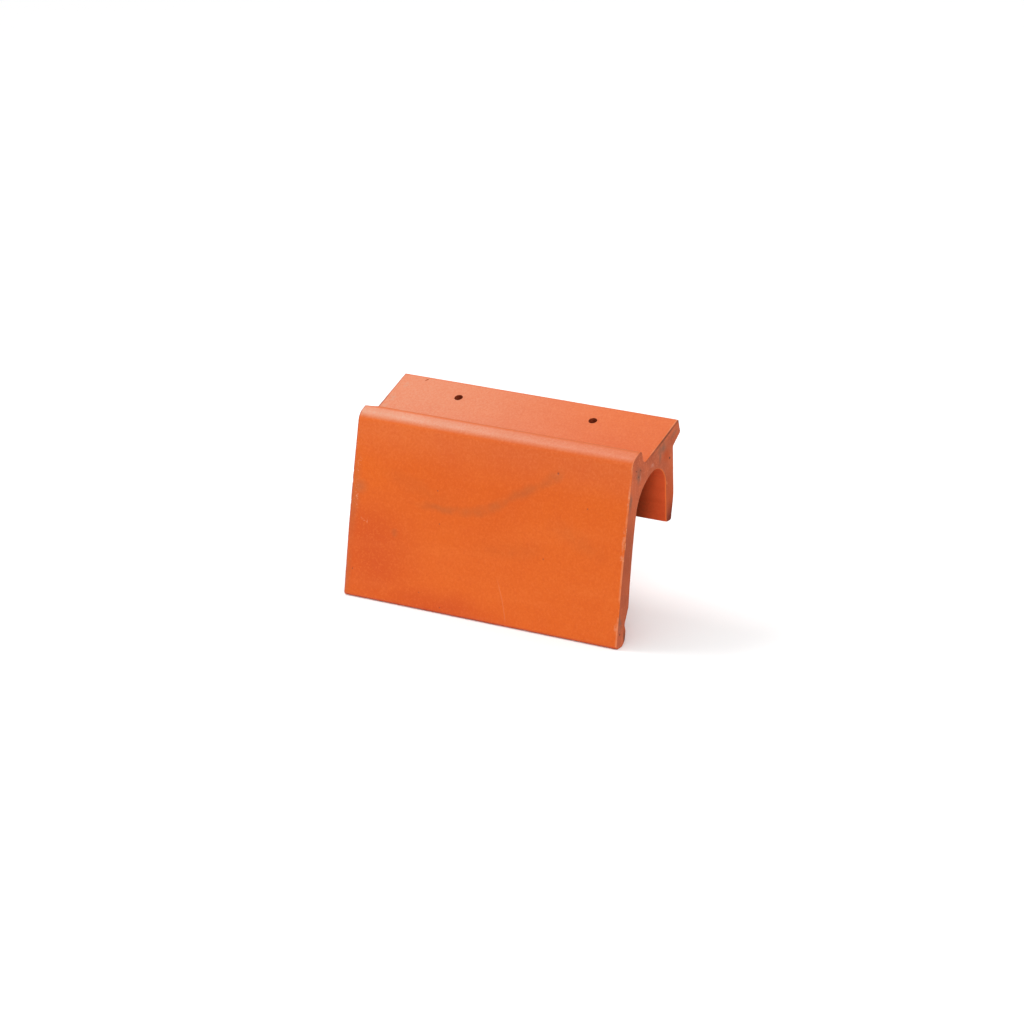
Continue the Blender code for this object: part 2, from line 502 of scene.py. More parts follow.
@dataclass(frozen=True)
class SmoothSkin:
    """The pressed outer skin, smooth and matt, with its smudges, scuffs, spots and worn edges, and painted
    sheen and painted shade on its top and edges.
    """

    clay: Colour = (0.635, 0.103, 0.0015)
    redder: Colour = (0.550, 0.069, 0.0008)
    paler: Colour = (0.70, 0.150, 0.023)
    smudge: Colour = (0.34, 0.090, 0.022)
    dust_and_sheen: Colour = (0.55, 0.300, 0.200)
    bare_edge: Colour = (0.66, 0.270, 0.140)
    # Painted shade: the darker line behind the lip, where the groove lies in shadow.
    lip_shade_line: Colour = (0.52, 0.120, 0.030)
    dark_edge: Colour = (0.26, 0.050, 0.016)
    # Painted shade: the dark red line along the toe's underside and the left rim.
    edge_shade_line: Colour = (0.38, 0.028, 0.003)
    iron: Colour = (0.14, 0.030, 0.012)
    roughness: float = 0.44
    specular: float = 0.30
    fine_grain: Grain = Grain(480.0, 3.0, distortion=0.6)
    clouds: Grain = Grain(38.0, 4.0, shift=(3.1, 1.7, 0.4))
    pale_grains: Ramp = Ramp(0.50, 0.66, 0.0, 0.28)
    red_grains: Ramp = Ramp(0.50, 0.34, 0.0, 0.28)
    roughness_drift: Ramp = Ramp(0.3, 0.7, 0.39, 0.50)
    under_toe: Ramp = Ramp(-0.1372, -0.1402, 0.0, 0.65)
    fine_relief: Relief = Relief(0.0005, 0.50)
    cloud_relief: Relief = Relief(0.0012, 0.25)
    spot_relief: Relief = Relief(0.0008, 0.8)
    spot_sharpness: float = 0.3
    spot_share: float = 0.48
    iron_spots: tuple[Patch, ...] = (
        Patch((0.0729, -0.0738, 0.0058), (0.0013, 0.004, 0.0013)),
        Patch((0.1073, -0.0799, -0.0206), (0.0010, 0.004, 0.0010)),
        Patch((0.0657, -0.0908, -0.0723), (0.0010, 0.004, 0.0010)),
        Patch((-0.0545, -0.0820, -0.0290), (0.0009, 0.004, 0.0009)),
        Patch((-0.0494, -0.0878, -0.0586), (0.0008, 0.004, 0.0008)),
        Patch((-0.1421, -0.0986, -0.1144), (0.0008, 0.004, 0.0012)),
        Patch((-0.0423, -0.1022, -0.1347), (0.0009, 0.004, 0.0009)),
        Patch((-0.0664, -0.1004, -0.1245), (0.0007, 0.004, 0.0007)),
    )

    drifts: Grain = Grain(7.0, 3.0)
    streaks: Grain = Grain(60.0, 3.0, stretch=(0.12, 1.0, 1.0))
    red_drifts: Ramp = Ramp(0.35, 0.70, 0.0, 0.40)
    pale_streaks: Ramp = Ramp(0.45, 0.80, 0.0, 0.20)
    red_clouds: Ramp = Ramp(0.50, 0.78, 0.0, 0.20)
    ruddy_wander: Wander = Wander(22.0, 0.022)
    ruddy: Stain = Stain((
        Patch((-0.125, -0.095, -0.0900), (0.080, 0.080, 0.0650)),
        Patch((-0.040, -0.100, -0.1360), (0.110, 0.080, 0.0220)),
        Patch((-0.115, -0.098, -0.1050), (0.060, 0.080, 0.0500)),
    ), redder, 0.95)

    smudge_wander: Wander = Wander(60.0, 0.008)
    smudge_breaks: Grain = Grain(85.0, 3.0)
    smudge_gaps: Ramp = Ramp(0.25, 0.65, 0.40, 1.0)
    smudge_share: float = 0.40
    faint_share: float = 0.13
    smudges: tuple[Patch, ...] = (
        Patch((-0.048, -0.085, -0.0440), (0.040, 0.060, 0.0060)),
        Patch((-0.012, -0.084, -0.0415), (0.032, 0.060, 0.0070), (0.0, -12.0, 0.0)),
        Patch((0.011, -0.082, -0.0325), (0.024, 0.060, 0.0070), (0.0, -32.0, 0.0)),
        Patch((0.037, -0.079, -0.0172), (0.036, 0.060, 0.0085), (0.0, -26.0, 0.0)),
        Patch((0.065, -0.075, -0.0015), (0.024, 0.060, 0.0080), (0.0, -33.0, 0.0)),
        Patch((-0.098, -0.091, -0.0740), (0.006, 0.030, 0.0060)),
    )
    faint_smudges: tuple[Patch, ...] = (
        Patch((0.030, -0.090, -0.0700), (0.056, 0.060, 0.0120), (0.0, -8.0, 0.0)),
        Patch((-0.075, -0.080, -0.0300), (0.060, 0.060, 0.0120), (0.0, 14.0, 0.0)),
        Patch((0.100, -0.090, -0.0500), (0.050, 0.060, 0.0140), (0.0, 20.0, 0.0)),
    )

    # Where the pale tint lies: dusty film mixed with painted sheen on the flange and shoulder, fading to
    # the right, and a faint painted light on the front's top.
    flange_slope: float = math.tan(math.radians(PITCH))
    flange_front: Ramp = Ramp(-0.0525, -0.0500)
    flange_foot: Ramp = Ramp(0.014, 0.019)
    flange_dust_and_sheen: Ramp = Ramp(-0.150, 0.140, 0.44, 0.08)
    flange_back: Ramp = Ramp(0.0094, 0.0074)
    flange_top: Ramp = Ramp(0.0340, 0.0375)
    shoulder_foot: Ramp = Ramp(0.0230, 0.0294)
    shoulder_top: Ramp = Ramp(0.0340, 0.0300, 0.55, 1.0)
    shoulder_dust_and_sheen: Ramp = Ramp(-0.150, 0.150, 0.64, 0.26)
    before_lip: Ramp = Ramp(-0.0566, -0.0588)
    front_dust_and_sheen: Ramp = Ramp(-0.020, 0.020, 0.0, 0.065)
    dust_and_sheen_grains: Ramp = Ramp(0.30, 0.70, 0.84, 1.16)
    lip_front: Ramp = Ramp(-0.0592, -0.0570)
    lip_back: Ramp = Ramp(-0.0505, -0.0515)
    lip_foot: Ramp = Ramp(0.0225, 0.0240)
    lip_share: float = 0.60
    clean_back: Ramp = Ramp(0.0078, 0.0096, 0.0, 0.70)

    flecks: Grain = Grain(520.0, 3.0, shift=(0.7, 0.2, 0.9))
    rubbing: Grain = Grain(70.0, 4.0, shift=(0.3, 2.2, 0.8))
    handled_wander: Wander = Wander(45.0, 0.006)
    scuff_wander: Wander = Wander(160.0, 0.004)
    scuff_flecks: Ramp = Ramp(0.56, 0.64)
    mark_flecks: Ramp = Ramp(0.38, 0.50)
    ash_flecks: Ramp = Ramp(0.42, 0.58, 0.05, 0.42)
    handled: Stain = Stain((
        Patch((-0.1500, -0.0850, -0.0500), (0.0130, 0.040, 0.0650)),
        Patch((-0.1500, -0.1000, -0.1200), (0.0090, 0.040, 0.0400)),
        Patch((-0.1420, -0.0840, -0.0380), (0.0150, 0.040, 0.0100)),
    ), (0.36, 0.105, 0.036), 0.42)
    scuffs: Stain = Stain((
        Patch((-0.1440, -0.0790, -0.0180), (0.0035, 0.012, 0.0130)),
        Patch((-0.1440, -0.0850, -0.0480), (0.0040, 0.012, 0.0260)),
        Patch((-0.1320, -0.0895, -0.0675), (0.0080, 0.012, 0.0035), (0.0, 12.0, 0.0)),
    ), bare_edge, 0.75)
    end_marks: Stain = Stain((
        Patch((0.1480, -0.0850, -0.0430), (0.0022, 0.012, 0.0170)),
        Patch((0.1474, -0.0880, -0.0582), (0.0030, 0.012, 0.0036)),
        Patch((0.1478, -0.1000, -0.1212), (0.0026, 0.012, 0.0060)),
        Patch((0.1490, -0.0760, -0.0050), (0.0016, 0.012, 0.0200)),
    ), bare_edge, 0.50)
    ash: Stain = Stain((
        Patch((-0.1425, -0.0230, 0.0320), (0.0050, 0.0080, 0.0080)),
        Patch((-0.1440, -0.0345, 0.0270), (0.0050, 0.0050, 0.0080)),
        Patch((-0.1395, -0.0050, 0.0395), (0.0040, 0.0060, 0.0080)),
    ), (0.46, 0.300, 0.210))

    rubbed: Ramp = Ramp(0.40, 0.60)
    near_end: Ramp = Ramp(0.1476, 0.1490)
    pale_share: Ramp = Ramp(-0.02, 0.02, 0.10, 0.42)
    corner: Ramp = Ramp(0.1492, 0.1497)
    on_top: Ramp = Ramp(0.018, 0.022)
    on_left: Ramp = Ramp(0.02, -0.02)
    left_rim: Ramp = Ramp(0.1484, 0.1494)
    left_rim_share: float = 0.70
    left_soot_front: Ramp = Ramp(-0.052, -0.045)
    left_soot_back: Ramp = Ramp(-0.018, -0.026)
    left_soot_end: Ramp = Ramp(0.1478, 0.1490)
    dark_share: float = 0.80

    scratch_start: tuple[float, float] = (0.0191, -0.101)
    scratch_lean: float = 0.44
    scratch_curve: float = 3.6
    scratch_width: Ramp = Ramp(0.0002, 0.0008, 1.0, 0.0)
    scratch_foot: Ramp = Ramp(-0.137, -0.132)
    scratch_head: Ramp = Ramp(-0.094, -0.108)
    scratch_front: Ramp = Ramp(-0.086, -0.092)
    scratch_share: float = 0.20

    def make(self) -> bpy.types.Material:
        """Build the material.

        Returns:
            The material of the outer skin.
        """
        bench = NodeBench("smooth_clay_skin", self.roughness, self.specular)
        fine = bench.noise(self.fine_grain)
        cloud = bench.noise(self.clouds)
        colour = self.fired_colour(bench, cloud)
        colour = bench.tint(bench.remap(fine, self.pale_grains), colour, self.paler)
        colour = bench.tint(bench.remap(fine, self.red_grains), colour, self.redder)
        colour = self.smudged(bench, colour)
        # Pale tint that is partly dust and partly painted sheen, with a painted shade line behind the lip.
        colour = self.dust_and_sheen_laid(bench, colour, fine)
        spots = bench.blots(self.iron_spots, bench.place, self.spot_sharpness)
        colour = bench.tint(bench.product(spots, self.spot_share), colour, self.iron)
        scratch = bench.product(self.scratch_mask(bench), self.scratch_share)
        colour = bench.tint(scratch, colour, self.bare_edge)
        colour = self.scuffed(bench, colour)
        colour = self.worn(bench, colour)
        # Painted shade: a dark red line along the toe's underside rounding.
        colour = bench.tint(bench.remap(bench.height, self.under_toe), colour, self.edge_shade_line)
        relief = bench.bump(fine, self.fine_relief)
        relief = bench.bump(cloud, self.cloud_relief, relief)
        relief = bench.bump(bench.maths("SUBTRACT", 1.0, spots), self.spot_relief, relief)
        return bench.finish(colour, relief, bench.remap(cloud, self.roughness_drift))

    def fired_colour(self, bench: NodeBench, cloud: Socket) -> Socket:
        """The colour that the kiln gave: slow drifts, drawn streaks and clouds.

        Args:
            bench: The material being built.
            cloud: The noise of the clouds.

        Returns:
            The colour.
        """
        drift = bench.remap(bench.noise(self.drifts), self.red_drifts)
        colour = bench.tint(drift, self.clay, self.redder)
        colour = bench.stained(colour, self.ruddy, bench.wobbled(self.ruddy_wander))
        streak = bench.remap(bench.noise(self.streaks), self.pale_streaks)
        colour = bench.tint(streak, colour, self.paler)
        return bench.tint(bench.remap(cloud, self.red_clouds), colour, self.redder)

    def smudged(self, bench: NodeBench, colour: Socket) -> Socket:
        """Lay the dark smudges on the front face.

        Args:
            bench: The material being built.
            colour: The colour under them.

        Returns:
            The colour with the smudges.
        """
        wavy = bench.wobbled(self.smudge_wander)
        broken = bench.remap(bench.noise(self.smudge_breaks), self.smudge_gaps)
        strong = bench.product(bench.blots(self.smudges, wavy), self.smudge_share)
        faint = bench.product(bench.blots(self.faint_smudges, wavy), self.faint_share)
        mask = bench.product(bench.maths("MAXIMUM", strong, faint), broken)
        return bench.tint(mask, colour, self.smudge)

    def dust_and_sheen_laid(self, bench: NodeBench, colour: Socket, fine: Socket) -> Socket:
        """Lay a pale tint on the flange, the shoulder and the front's top, partly dusty film and partly
        painted sheen, and a painted shade line behind the lip.

        Args:
            bench: The material being built.
            colour: The colour under it.
            fine: The noise of the grain, which the pale tint thins over.

        Returns:
            The colour with the pale tint, the painted shade line and the redder back edge.
        """
        above = bench.maths("SUBTRACT", bench.height, bench.product(bench.across, self.flange_slope))
        on_flange = bench.product(
            bench.remap(bench.across, self.flange_front), bench.remap(bench.height, self.flange_foot),
            bench.remap(bench.along, self.flange_dust_and_sheen), bench.remap(bench.across, self.flange_back),
            bench.remap(above, self.flange_top))
        before_lip = bench.remap(bench.across, self.before_lip)
        on_shoulder = bench.product(
            bench.remap(bench.height, self.shoulder_foot), before_lip,
            bench.remap(bench.height, self.shoulder_top), bench.remap(bench.along, self.shoulder_dust_and_sheen))
        on_front = bench.product(bench.remap(bench.height, self.front_dust_and_sheen), before_lip)
        # Painted sheen mixed with dust: paler on the flange and shoulder, where the top light would glint.
        dust_and_sheen = bench.maths("MAXIMUM", bench.maths("ADD", on_flange, on_shoulder), on_front)
        dust_and_sheen = bench.product(dust_and_sheen, bench.remap(fine, self.dust_and_sheen_grains))
        colour = bench.tint(dust_and_sheen, colour, self.dust_and_sheen)
        # Painted shade: a darker line along the lip's back edge, in the groove's shadow.
        lip = bench.product(
            bench.remap(bench.across, self.lip_front), bench.remap(bench.across, self.lip_back),
            bench.remap(bench.height, self.lip_foot), self.lip_share)
        colour = bench.tint(lip, colour, self.lip_shade_line)
        return bench.tint(bench.remap(bench.across, self.clean_back), colour, self.redder)

    def scuffed(self, bench: NodeBench, colour: Socket) -> Socket:
        """Brown and scuff the skin near the ends, where hands and other tiles touched it.

        Args:
            bench: The material being built.
            colour: The colour under the scuffs.

        Returns:
            The scuffed colour.
        """
        colour = bench.stained(colour, self.handled, bench.wobbled(self.handled_wander))
        flecks = bench.noise(self.flecks)
        wavy = bench.wobbled(self.scuff_wander)
        for stain, ramp in ((self.scuffs, self.scuff_flecks), (self.end_marks, self.mark_flecks),
                            (self.ash, self.ash_flecks)):
            colour = bench.stained(colour, stain, wavy, bench.remap(flecks, ramp))
        return colour

    def worn(self, bench: NodeBench, colour: Socket) -> Socket:
        """Wear the end edges: pale where they are rubbed, dark along the left end's upper edge and at the
        top corners, with a painted shade line along the left rim.

        Args:
            bench: The material being built.
            colour: The colour under the wear.

        Returns:
            The worn colour.
        """
        from_middle = bench.maths("ABSOLUTE", bench.along)
        on_left = bench.remap(bench.along, self.on_left)
        pale = bench.product(
            bench.remap(from_middle, self.near_end), bench.remap(bench.noise(self.rubbing), self.rubbed),
            bench.remap(bench.along, self.pale_share))
        colour = bench.tint(pale, colour, self.bare_edge)
        # Painted shade: a dark red line along the left rim.
        left_rim = bench.product(bench.remap(from_middle, self.left_rim), on_left, self.left_rim_share)
        colour = bench.tint(left_rim, colour, self.edge_shade_line)
        left_soot = bench.product(
            bench.remap(bench.across, self.left_soot_front), bench.remap(bench.across, self.left_soot_back),
            on_left, bench.remap(from_middle, self.left_soot_end))
        top_corner = bench.product(
            bench.remap(from_middle, self.corner), bench.remap(bench.height, self.on_top))
        dark = bench.product(bench.maths("MAXIMUM", left_soot, top_corner), self.dark_share)
        return bench.tint(dark, colour, self.dark_edge)

    def scratch_mask(self, bench: NodeBench) -> Socket:
        """The mask of the long curved scratch near the toe.

        Args:
            bench: The material being built.

        Returns:
            The mask.
        """
        start_along, start_height = self.scratch_start
        down = bench.maths("SUBTRACT", start_height, bench.height)
        path = bench.maths("ADD", start_along, bench.product(down, self.scratch_lean))
        path = bench.maths("SUBTRACT", path, bench.product(down, down, self.scratch_curve))
        off = bench.maths("ABSOLUTE", bench.maths("SUBTRACT", bench.along, path))
        return bench.product(
            bench.remap(off, self.scratch_width), bench.remap(bench.height, self.scratch_foot),
            bench.remap(bench.height, self.scratch_head), bench.remap(bench.across, self.scratch_front))


@dataclass(frozen=True)
class WireCutClay:
    """The cut ends: bare, matt clay with drag marks, kiln stains, soot and pits."""

    clay: Colour = (0.52, 0.108, 0.038)
    darker: Colour = (0.38, 0.078, 0.030)
    paler: Colour = (0.62, 0.180, 0.085)
    soot: Colour = (0.085, 0.028, 0.012)
    roughness: float = 0.82
    specular: float = 0.25
    clouds: Grain = Grain(45.0, 4.0)
    grit: Grain = Grain(520.0, 3.0)
    drag: Grain = Grain(260.0, 3.0, stretch=(1.0, 1.0, 0.08), distortion=0.3)
    dark_clouds: Ramp = Ramp(0.35, 0.70)
    pale_grit: Ramp = Ramp(0.50, 0.72, 0.0, 0.45)
    dark_drag: Ramp = Ramp(0.50, 0.75, 0.0, 0.30)
    drag_relief: Relief = Relief(0.0010, 0.45)
    grit_relief: Relief = Relief(0.0006, 0.45)
    pit_relief: Relief = Relief(0.0015, 0.8)
    wander: Wander = Wander(110.0, 0.006)
    burnt: Stain = Stain((
        Patch((0.150, -0.0060, -0.0250), (0.020, 0.0220, 0.0500)),
        Patch((0.150, -0.0120, 0.0180), (0.020, 0.0090, 0.0110)),
    ), (0.44, 0.064, 0.011), 0.90)
    dull: Stain = Stain((
        Patch((0.150, -0.0860, -0.0650), (0.020, 0.0280, 0.0850), (-10.0, 0.0, 0.0)),
    ), (0.34, 0.066, 0.022), 0.75)
    foot: Stain = Stain((
        Patch((0.150, -0.0060, -0.0440), (0.020, 0.0140, 0.0260), (-12.0, 0.0, 0.0)),
    ), (0.11, 0.008, 0.001), 0.90)

    breaks: Grain = Grain(160.0, 3.0)
    gaps: Ramp = Ramp(0.30, 0.62, 0.45, 1.0)
    kiln_stains: Stain = Stain((
        Patch((0.150, -0.0195, 0.0258), (0.020, 0.0150, 0.0085), (PITCH, 0.0, 0.0)),
        Patch((0.150, -0.0225, 0.0190), (0.020, 0.0040, 0.0085)),
        Patch((0.150, 0.0010, 0.0345), (0.020, 0.0100, 0.0040), (PITCH, 0.0, 0.0)),
        Patch((0.150, -0.0600, 0.0120), (0.020, 0.0060, 0.0120)),
        Patch((0.150, -0.0745, -0.0100), (0.020, 0.0040, 0.0140), (-12.0, 0.0, 0.0)),
        Patch((0.150, -0.0960, -0.1180), (0.020, 0.0050, 0.0120)),
        Patch((-0.150, -0.0700, -0.0400), (0.020, 0.0100, 0.0300)),
        Patch((-0.150, -0.0300, 0.0200), (0.020, 0.0200, 0.0100)),
    ), (0.22, 0.092, 0.054), 0.85)
    pale_stains: Stain = Stain((
        Patch((0.150, -0.0360, 0.0150), (0.020, 0.0048, 0.0028), (-20.0, 0.0, 0.0)),
        Patch((0.150, -0.0560, 0.0090), (0.020, 0.0016, 0.0050)),
    ), (0.52, 0.230, 0.160), 0.60)

    soot_wander: Wander = Wander(150.0, 0.0010)
    soot_share: float = 0.85
    sooty: tuple[Patch, ...] = (
        Patch((0.150, -0.0140, 0.0352), (0.004, 0.0400, 0.0024), (PITCH, 0.0, 0.0)),
        Patch((0.150, 0.0096, 0.0450), (0.004, 0.0036, 0.0036)),
        Patch((0.150, -0.0890, -0.1330), (0.004, 0.0030, 0.0110)),
        Patch((-0.150, -0.0900, -0.1100), (0.004, 0.0040, 0.0300)),
        Patch((-0.150, -0.0290, 0.0290), (0.004, 0.0200, 0.0030), (PITCH, 0.0, 0.0)),
    )
    pit_sharpness: float = 0.4
    pits: tuple[Patch, ...] = (
        Patch((0.150, -0.0065, 0.0138), (0.004, 0.0014, 0.0014)),
        Patch((0.150, -0.0565, 0.0162), (0.004, 0.0010, 0.0010)),
        Patch((0.150, -0.0640, 0.0173), (0.004, 0.0009, 0.0009)),
        Patch((0.150, -0.0599, 0.0109), (0.004, 0.0008, 0.0008)),
        Patch((0.150, -0.0965, -0.1278), (0.004, 0.0010, 0.0010)),
        Patch((-0.150, -0.0720, -0.0150), (0.004, 0.0014, 0.0014)),
        Patch((-0.150, -0.0870, -0.0950), (0.004, 0.0012, 0.0012)),
    )

    def make(self) -> bpy.types.Material:
        """Build the material.

        Returns:
            The material of the cut ends.
        """
        bench = NodeBench("wire_cut_clay", self.roughness, self.specular)
        colour = bench.tint(bench.remap(bench.noise(self.clouds), self.dark_clouds), self.clay, self.darker)
        grit = bench.noise(self.grit)
        colour = bench.tint(bench.remap(grit, self.pale_grit), colour, self.paler)
        drag = bench.noise(self.drag)
        colour = bench.tint(bench.remap(drag, self.dark_drag), colour, self.darker)
        wavy = bench.wobbled(self.wander)
        for stain in (self.burnt, self.dull, self.foot):
            colour = bench.stained(colour, stain, wavy)
        broken = bench.remap(bench.noise(self.breaks), self.gaps)
        for stain in (self.kiln_stains, self.pale_stains):
            colour = bench.stained(colour, stain, wavy, broken)
        soot = bench.blots(self.sooty, bench.wobbled(self.soot_wander))
        holes = bench.blots(self.pits, bench.place, self.pit_sharpness)
        black = bench.product(bench.maths("MAXIMUM", soot, holes), self.soot_share)
        colour = bench.tint(black, colour, self.soot)
        relief = bench.bump(drag, self.drag_relief)
        relief = bench.bump(grit, self.grit_relief, relief)
        relief = bench.bump(bench.maths("SUBTRACT", 1.0, holes), self.pit_relief, relief)
        return bench.finish(colour, relief)


@dataclass(frozen=True)
class InnerClay:
    """The inside of the arch: dull clay with the die's marks along it, and painted shade that darkens it
    away from the open ends.
    """

    clay: Colour = (0.63, 0.092, 0.024)
    darker: Colour = (0.56, 0.078, 0.019)
    paler: Colour = (0.68, 0.120, 0.036)
    # Painted shade colour for the arch's hidden middle.
    painted_deep_shade: Colour = (0.085, 0.021, 0.005)
    # Painted highlight colour along the arch's rims at the ends.
    rim: Colour = (0.78, 0.200, 0.045)
    roughness: float = 0.85
    specular: float = 0.15
    streaks: Grain = Grain(110.0, 4.0, stretch=(0.06, 1.0, 1.0))
    clouds: Grain = Grain(30.0, 4.0)
    grit: Grain = Grain(600.0, 2.0)
    dark_streaks: Ramp = Ramp(0.35, 0.70)
    pale_clouds: Ramp = Ramp(0.45, 0.80, 0.0, 0.5)
    pale_grit: Ramp = Ramp(0.50, 0.72, 0.0, 0.25)
    shade_height: Ramp = Ramp(-0.065, -0.045)
    shade_back: Ramp = Ramp(-0.062, -0.034)
    shade_inwards: Ramp = Ramp(0.1490, 0.111, 0.0, 0.93)
    rim_highlight: Ramp = Ramp(0.1489, 0.1493, 0.0, 0.55)
    streak_relief: Relief = Relief(0.0008, 0.25)
    grit_relief: Relief = Relief(0.0005, 0.40)

    def make(self) -> bpy.types.Material:
        """Build the material.

        Returns:
            The material of the inside.
        """
        bench = NodeBench("inner_clay", self.roughness, self.specular)
        drawn = bench.noise(self.streaks)
        colour = bench.tint(bench.remap(drawn, self.dark_streaks), self.clay, self.darker)
        colour = bench.tint(bench.remap(bench.noise(self.clouds), self.pale_clouds), colour, self.paler)
        grit = bench.noise(self.grit)
        colour = bench.tint(bench.remap(grit, self.pale_grit), colour, self.paler)
        # Painted shade: darker inside the arch the farther it is from the open ends.
        from_middle = bench.maths("ABSOLUTE", bench.along)
        painted_shade = bench.product(
            bench.remap(bench.height, self.shade_height), bench.remap(bench.across, self.shade_back),
            bench.remap(from_middle, self.shade_inwards))
        colour = bench.tint(painted_shade, colour, self.painted_deep_shade)
        # Painted highlight: a bright line along the arch's rim at each end.
        colour = bench.tint(bench.remap(from_middle, self.rim_highlight), colour, self.rim)
        relief = bench.bump(drawn, self.streak_relief)
        relief = bench.bump(grit, self.grit_relief, relief)
        return bench.finish(colour, relief)


@dataclass(frozen=True)
class RoughClay:
    """Clay that was punched or broken: coarse and without its skin."""

    name: str
    clay: Colour
    paler: Colour
    roughness: float = 0.9
    specular: float = 0.15
    grit: Grain = Grain(700.0, 4.0)
    pale_grit: Ramp = Ramp(0.35, 0.70)
    relief: Relief = Relief(0.0008, 0.6)

    def make(self) -> bpy.types.Material:
        """Build the material.

        Returns:
            The material of rough clay.
        """
        bench = NodeBench(self.name, self.roughness, self.specular)
        grit = bench.noise(self.grit)
        colour = bench.tint(bench.remap(grit, self.pale_grit), self.clay, self.paler)
        return bench.finish(colour, bench.bump(grit, self.relief))


@dataclass(frozen=True)
class Chip:
    """A flake that has come off: its middle, its half sizes and its turn, in metres and degrees."""

    centre: Triple
    size: Triple
    turn: Triple = (0.0, 0.0, 0.0)


@dataclass
class FlakeCutters:
    """Rough, faceted flakes that are cut out of the edges."""

    chips: tuple[Chip, ...]
    raggedness: float = 0.16
    seed: int = 7

    def flake(self) -> bpy.types.Object:
        """Model one flake of unit size.

        Returns:
            The flake, which is copied for each chip.
        """
        deselect_all()
        bpy.ops.mesh.primitive_ico_sphere_add(subdivisions=2, radius=1.0)
        flake = bpy.context.active_object
        with editing(flake):
            bpy.ops.mesh.select_all(action="SELECT")
            bpy.ops.transform.vertex_random(offset=self.raggedness, uniform=1.0, normal=0.0, seed=self.seed)
        return flake

    def build(self) -> bpy.types.Object:
        """Copy the flake to each chip.

        Returns:
            All the flakes as one cutter.
        """
        flake = self.flake()
        parts = []
        for chip in self.chips:
            copy = flake.copy()
            copy.data = flake.data.copy()
            bpy.context.scene.collection.objects.link(copy)
            copy.location = chip.centre
            copy.rotation_euler = tuple(math.radians(angle) for angle in chip.turn)
            copy.scale = chip.size
            apply_place(copy)
            parts.append(copy)
        bpy.data.objects.remove(flake, do_unlink=True)
        return join_all(parts, "flake_cutters")


@dataclass
class NailHoles:
    """The two punched nail holes, with the clay that the punch raised round them.

    The tremble of a punch or a rim is how far its corners are off, in metres.
    """

    places: tuple[float, ...] = (-0.07705, 0.07045)
    mouth: tuple[float, float] = (-0.0099, 0.0377)
    pitch: float = math.radians(PITCH)
    radius: float = 0.0040
    squash: float = 0.90
    flare: float = 1.06
    flare_depth: float = 0.0006
    above: float = 0.003
    below: float = 0.045
    rim_radius: float = 0.0046
    rim_width: float = 0.0009
    rim_height: float = 0.00025
    sides: int = 32
    rim_sides: int = 8
    punch_tremble: float = 0.00012
    rim_tremble: float = 0.00010
    seed: int = 3

    def turn(self) -> Triple:
        """The turn that stands a tool square to the flange."""
        return (self.pitch, 0.0, 0.0)

    def punches(self) -> bpy.types.Object:
        """Model the punches that cut the holes.

        Returns:
            Both punches as one cutter.
        """
        parts = []
        for index, place in enumerate(self.places):
            deselect_all()
            bpy.ops.mesh.primitive_cylinder_add(
                vertices=self.sides, radius=self.radius, depth=self.below,
                location=(0.0, 0.0, -self.below / 2 - self.flare_depth))
            punch = bpy.context.active_object
            apply_place(punch)
            with editing(punch):
                select(punch, MeshList.FACE, lambda face: face.normal.z > SQUARE)
                bpy.ops.mesh.extrude_region_move(
                    TRANSFORM_OT_translate={"value": (0.0, 0.0, self.flare_depth)})
                bpy.ops.transform.resize(value=(self.flare, self.flare, 1.0))
                bpy.ops.mesh.extrude_region_move(TRANSFORM_OT_translate={"value": (0.0, 0.0, self.above)})
                bpy.ops.mesh.select_all(action="SELECT")
                bpy.ops.transform.resize(value=(1.0, self.squash, 1.0))
                bpy.ops.transform.vertex_random(
                    offset=self.punch_tremble, uniform=1.0, normal=0.0, seed=self.seed + index)
            punch.rotation_euler = self.turn()
            punch.location = (place, *self.mouth)
            apply_place(punch)
            parts.append(punch)
        return join_all(parts, "punches")

    def rims(self) -> bpy.types.Object:
        """Model the raised clay round the mouths.

        Returns:
            Both rims as one lump.
        """
        parts = []
        for index, place in enumerate(self.places):
            deselect_all()
            bpy.ops.mesh.primitive_torus_add(
                major_segments=self.sides, minor_segments=self.rim_sides,
                major_radius=self.rim_radius, minor_radius=self.rim_width)
            rim = bpy.context.active_object
            with editing(rim):
                bpy.ops.mesh.select_all(action="SELECT")
                bpy.ops.transform.resize(value=(1.0, self.squash, self.rim_height / self.rim_width))
                bpy.ops.transform.vertex_random(
                    offset=self.rim_tremble, uniform=1.0, normal=0.0, seed=self.seed + index)
            rim.rotation_euler = self.turn()
            rim.location = (place, *self.mouth)
            apply_place(rim)
            parts.append(rim)
        return join_all(parts, "rims")


@dataclass(frozen=True)
class Wear:
    """Unevenness of the clay: how large its bumps are, how far it goes in, and where it applies."""

    name: str
    cell: float
    depth: float
    group: str = ""
    layers: int = 2
    level: float = 0.8


